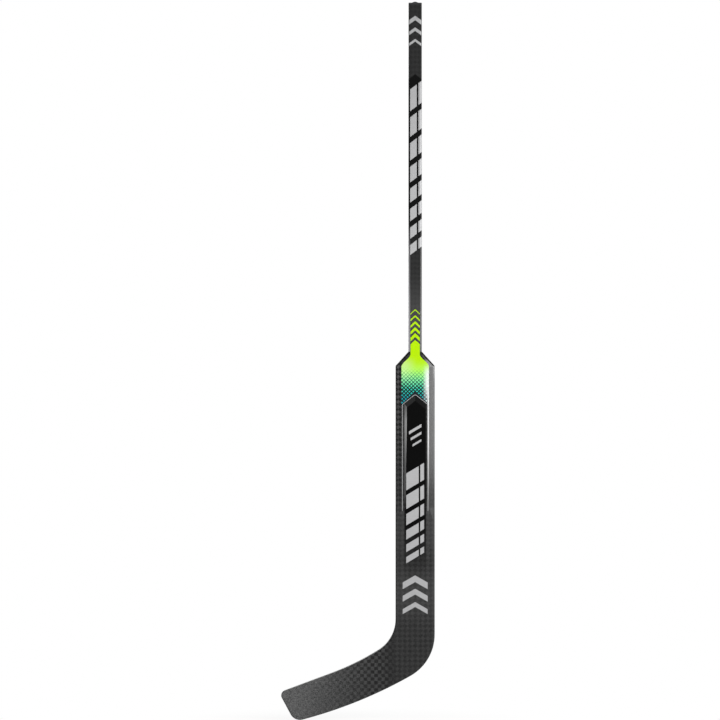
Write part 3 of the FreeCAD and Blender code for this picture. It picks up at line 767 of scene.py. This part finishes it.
# %% [markdown]
# The silver foil is an ink of fine metal flakes in clear binder, so about a third of it answers light
# like metal and the rest like pale paint. Flakes lie at many angles, which shows as a fine sparkle.

# %% Silver foil
FLAKES = 4.0
BRUSHING = (0.05, 0.05, 0.8)


def silver_foil():
    constants = {"Metallic": 0.35, "Coat Weight": 0.15, "Coat Roughness": 0.35, "Specular IOR Level": 0.2}
    material, shader, place = start_finish("silver_foil", constants)
    flakes = noise(place, FLAKES, 1.0) - 0.5
    brushing = noise(place, BRUSHING, 2.0) - 0.5
    sparkle = flakes * 0.7 + brushing * 0.6 + 0.5
    feed(shader, {
        "Base Color": mix(colour(160, 160, 161), colour(188, 188, 189), sparkle),
        "Roughness": 0.55 + flakes * 0.15,
    })
    return material


silver = silver_foil()
print("made", silver.name)


# %% Slanting bars and chevrons in the flat layout
def steps(start, end, count):
    """Evenly spaced numbers from start to end."""
    return [start + (end - start) * k / count for k in range(count + 1)]


def slanting_bar(left, right, foot, height, slant):
    """A bar across the stick whose ends are upright and whose long edges slant."""
    return [((s, foot + slant * s), (s, foot + height + slant * s)) for s in steps(left, right, 12)]


def shrinking_bars(rows, spans, top, height, gap, shrink, slant):
    """Rows of bars going down, each row lower by a gap and shorter than the one above."""
    bars = []
    for row in range(rows):
        bars += [slanting_bar(left, right, top - height, height, slant) for left, right in spans]
        top -= height + gap
        height *= shrink
    return bars


def chevron(half, foot, height, peak):
    """A bar bent to a peak on the centre line."""
    ridge = [(s, foot + peak * (1 - abs(s) / half)) for s in steps(-half, half, 24)]
    return [((s, low), (s, low + height)) for s, low in ridge]


def chevron_stack(count, half, peak, foot, pitch, height, thinner):
    """Chevrons a pitch apart, each thinner than the one before."""
    return [chevron(half, foot + pitch * k, height - thinner * k, peak) for k in range(count)]


# %% Bars down the shaft, shrinking towards the paddle
SHAFT_SPANS = ((-11.2, 3.6), (7.4, 15.6))
shaft_bars = shrinking_bars(8, SHAFT_SPANS, top=598.0, height=49.0, gap=14, shrink=0.895, slant=0.75)
lay_foil("shaft_bars", shaft_bars, silver)

# %% Chevrons near the plug and low on the paddle
near_plug = chevron_stack(3, half=14, peak=10, foot=735, pitch=-24, height=10, thinner=2)
near_heel = chevron_stack(3, half=28, peak=16, foot=-534, pitch=-28, height=15, thinner=2)
lay_foil("plug_chevrons", near_plug, silver)
lay_foil("heel_chevrons", near_heel, silver)

# %% Bars on the black panel
PANEL_SPANS = ((-20.0, 8.0), (11.5, 20.0))
PANEL_SLANT = 0.6
panel_bars = shrinking_bars(6, PANEL_SPANS, top=-262.0, height=38.0, gap=11, shrink=0.82, slant=PANEL_SLANT)
for k in range(3):
    panel_bars.append(slanting_bar(-14.0 + 4 * k, 14.0, -178.0 - 16 * k, 7.0 - k, PANEL_SLANT))
lay_foil("panel_bars", panel_bars, silver)


# %% [markdown]
# A line of foil frames the panel. It is a ribbon: a path with rounded corners, and at each point of the
# path two edges half a width to either side.

# %% Frame of the panel
FRAME_HALF = 28.8
FRAME_FOOT = -358.0
FRAME_CORNER = 6.0
FRAME_LINE = 1.05


def rounded_path(points, radius):
    """A path through points whose inner corners are turned on curves."""
    path = [Vector(points[0])]
    for before, corner, after in zip(points, points[1:], points[2:]):
        back = (Vector(before) - Vector(corner)).normalized()
        ahead = (Vector(after) - Vector(corner)).normalized()
        reach = radius / math.tan(back.angle(ahead) / 2)
        for t in steps(0, 1, 8):
            start = Vector(corner) + back * reach * (1 - t)
            end = Vector(corner) + ahead * reach * t
            path.append(start.lerp(end, t))
    return path + [Vector(points[-1])]


def ribbon(path, width):
    """The two edges of a ribbon along a path."""
    pairs = []
    for k, point in enumerate(path):
        along = (path[min(k + 1, len(path) - 1)] - path[max(k - 1, 0)]).normalized()
        aside = Vector((-along.y, along.x)) * width / 2
        pairs.append((tuple(point + aside), tuple(point - aside)))
    return pairs


frame_side = PANEL_PEAK - PANEL_FALL * FRAME_HALF
up_and_over = [(-FRAME_HALF, FRAME_FOOT), (-FRAME_HALF, frame_side), (0, PANEL_PEAK)]
and_down = [(FRAME_HALF, frame_side), (FRAME_HALF, FRAME_FOOT)]
frame_path = rounded_path(up_and_over + and_down, FRAME_CORNER)
lay_foil("panel_frame", [ribbon(frame_path, FRAME_LINE)], silver)

# %% [markdown]
# ## Lime and teal fade
#
# Over the shoulders the paint is solid lime. Lower down it breaks into diamonds that shrink and turn
# teal, as a printed screen does. Diamonds on a staggered grid close up completely at full size, so one
# rule gives both the solid colour and the fading dots. Going up the shaft it breaks into chevrons.

# %% Fade paint
MOTTLE = 0.3
LEFT_BLUSH = (6.0, -26.0)
BLUSH_TOP = (-8.0, -30.0)
BLUSH_FOOT = (-80.0, -40.0)


def fade_paint():
    constants = {"Coat Weight": 0.12, "Coat Roughness": 0.15, "Specular IOR Level": 0.06}
    material, shader, place = start_finish("fade_paint", constants)
    x, y, z = parts_of(place)
    fade = ramp(
        rise(z, *FADE_RUN),
        (0.0, colour(183, 233, 0)),
        (0.2, colour(178, 246, 92)),
        (0.5, colour(138, 242, 158)),
        (0.8, colour(56, 214, 178)),
        (1.0, colour(16, 160, 172)),
    )
    glow = rise(x, *GLOW_WIDE) * rise(z, *GLOW_TOP) * 0.85
    blush = rise(x, *LEFT_BLUSH) * rise(z, *BLUSH_TOP) * rise(z, *BLUSH_FOOT) * 0.25
    feed(shader, {
        "Base Color": mix(fade, colour(240, 244, 240), glow + blush),
        "Roughness": 0.36 + noise(place, MOTTLE, 3.0) * 0.1,
    })
    return material


lime_to_teal = fade_paint()
print("made", lime_to_teal.name)

# %% Lime over the shoulders and up the shaft
SOLID_TOP = 4
SOLID_FOOT = -35
POINT_TOP = 26
POINT_FALL = 0.9


def painted_half(up):
    """Half the painted width at a height: the shaft's flat, then an easy curve out to the bevels."""
    share = min(max((FLARE_TOP - up) / (FLARE_TOP - FLARE_FOOT), 0), 1)
    return PAINT_NECK + PAINT_FLARE * share * share * (3 - 2 * share)


solid = [((-painted_half(up), up), (painted_half(up), up)) for up in steps(SOLID_TOP, SOLID_FOOT, 39)]
point = [((s, SOLID_TOP), (s, POINT_TOP - abs(s) * POINT_FALL)) for s in steps(-PAINT_NECK, PAINT_NECK, 24)]
up_the_neck = chevron_stack(5, half=PAINT_NECK, peak=10, foot=23, pitch=15, height=8.5, thinner=1.5)
lay_foil("shoulder_paint", [solid, point] + up_the_neck, lime_to_teal)

# %% Diamonds of the fade
COLUMN = 8.4
ROW = 4.2
EDGE = painted_half(SOLID_FOOT)
FULL_SIZE = 0.98
SHRINKS_BY = 0.44
SHRINKS_OVER = 50.0
CLEAR_OF_FRAME = 2.0
THIN_END = 0.05


def diamond(s, up, size):
    """A diamond cut off square where it would pass the edge of the paint."""
    half_wide = size * COLUMN / 2
    pairs = []
    for across in (max(s - half_wide, -EDGE), s, min(s + half_wide, EDGE)):
        half_high = max(size * ROW * (1 - abs(across - s) / half_wide), THIN_END)
        pairs.append(((across, up - half_high), (across, up + half_high)))
    return pairs


diamonds = []
for row in range(30):
    up = SOLID_FOOT - ROW * row
    size = FULL_SIZE - SHRINKS_BY * min(row * ROW / SHRINKS_OVER, 1)
    shift = COLUMN / 2 if row % 2 else 0
    for column in range(-4, 5):
        s = column * COLUMN + shift
        frame_line = PANEL_PEAK - PANEL_FALL * abs(s)
        if abs(s) < EDGE and up - size * ROW > frame_line + CLEAR_OF_FRAME:
            diamonds.append(diamond(s, up, size))
lay_foil("fade_diamonds", diamonds, lime_to_teal, lift=0.6 * FOIL)

# %% [markdown]
# ## Studio
#
# The stick stands on a plain white floor in a bright room. A soft light to the right of the camera
# brings out the bevels and the toe, which lean that way, one further round lights the heel side, and a
# weaker one behind lights the back. The room is white to the eye and in reflections, and gives less
# light than that, so that colours come out as they are written and the floor keeps a soft shadow.

# %% White for the rays that show a picture
def looked_at(start):
    """1 for rays that reach the eye straight, or by way of a mirror or glass, and 0 for light itself."""
    straight = start.node("ShaderNodeLightPath", {}, {}, "Is Camera Ray")
    mirrored = straight.beside("Is Glossy Ray")
    through = straight.beside("Is Transmission Ray")
    return straight.math("MINIMUM", straight + mirrored + through, 1.0)


# %% Floor
FLOOR_REACH = 6.0
FLOOR_GAP = 0.5 * MM
BLADE_MIDDLE = -140.0
SHADOW_EDGE = (150.0, 450.0)
SHADOW_SHARE = 0.12


def white_floor():
    material, shader, place = start_finish("white_floor", {"Base Color": grey(248), "Roughness": 0.9})
    x, y, z = parts_of(place)
    aside = x - BLADE_MIDDLE
    far = x.math("SQRT", aside * aside + y * y)
    lit = Field(shader.outputs["BSDF"])
    seen = looked_at(lit)
    white = seen.node("ShaderNodeEmission", {}, {"Strength": 1.0})
    share = seen * (1 - SHADOW_SHARE + SHADOW_SHARE * rise(far, *SHADOW_EDGE))
    both = share.node("ShaderNodeMixShader", {}, {0: share, 1: lit, 2: white})
    fill(material.node_tree.nodes["Material Output"].inputs["Surface"], both)
    return material


floor_sheet = bmesh.new()
bmesh.ops.create_grid(floor_sheet, x_segments=8, y_segments=8, size=FLOOR_REACH)
bmesh.ops.translate(floor_sheet, verts=floor_sheet.verts, vec=(0, 0, cad_low.z - FLOOR_GAP))
floor_mesh = bpy.data.meshes.new("floor")
floor_sheet.to_mesh(floor_mesh)
floor_sheet.free()
floor_mesh.materials.append(white_floor())
floor = bpy.data.objects.new("floor", floor_mesh)
bpy.context.collection.objects.link(floor)
print("floor at", round(cad_low.z - FLOOR_GAP, 4))

# %% Room
ROOM_LIGHT = 0.3
room = bpy.data.worlds.new("white_room")
room.use_nodes = True
bpy.context.scene.world = room
backdrop = room.node_tree.nodes["Background"]
seen = looked_at(Field(backdrop.outputs["Background"]))
feed(backdrop, {"Color": (1.0, 1.0, 1.0, 1.0), "Strength": ROOM_LIGHT + (1 - ROOM_LIGHT) * seen})
print("room light:", ROOM_LIGHT)


# %% Lights
def softbox(name, place, aim, width, height, brightness):
    """A flat soft light of a given size, as bright as a sheet of that brightness."""
    lamp = bpy.data.lights.new(name, "AREA")
    lamp.shape = "RECTANGLE"
    lamp.size = width
    lamp.size_y = height
    lamp.energy = brightness * math.pi * width * height
    stand = bpy.data.objects.new(name, lamp)
    stand.location = place
    stand.rotation_euler = (Vector(aim) - Vector(place)).to_track_quat("-Z", "Y").to_euler()
    stand.visible_camera = False
    bpy.context.collection.objects.link(stand)
    print(name, "watts:", round(lamp.energy, 2))


GRIP = (0, 0, 0.14)
softbox("front_right_light", (0.78, -1.08, 0.14), GRIP, width=0.4, height=0.88, brightness=12.0)
softbox("side_right_light", (1.25, -0.45, 0.14), GRIP, width=0.5, height=0.9, brightness=5.0)
softbox("back_light", (-0.9, 1.6, 0.6), (0, 0, 0), width=0.8, height=1.2, brightness=6.0)

# %% [markdown]
# ## Camera
#
# The stick is seen square on from the front, from so far away that its sides don't converge. A long
# lens at 12 m gives that, and the frame is 1.62 m wide.

# %% Camera
FRAME_WIDTH = 1.62
DISTANCE = 12.0
FRAME_MIDDLE_X = -0.1240
FRAME_MIDDLE_Z = -0.0189
lens = bpy.data.cameras.new("front_camera")
lens.sensor_width = 36.0
lens.lens = lens.sensor_width * DISTANCE / FRAME_WIDTH
lens.clip_end = 100.0
camera = bpy.data.objects.new("front_camera", lens)
camera.location = (FRAME_MIDDLE_X, -DISTANCE, FRAME_MIDDLE_Z)
camera.rotation_euler = (math.pi / 2, 0, 0)
bpy.context.collection.objects.link(camera)
bpy.context.scene.camera = camera
bpy.context.scene.view_settings.view_transform = "Standard"
print("lens:", round(lens.lens, 1), "mm")
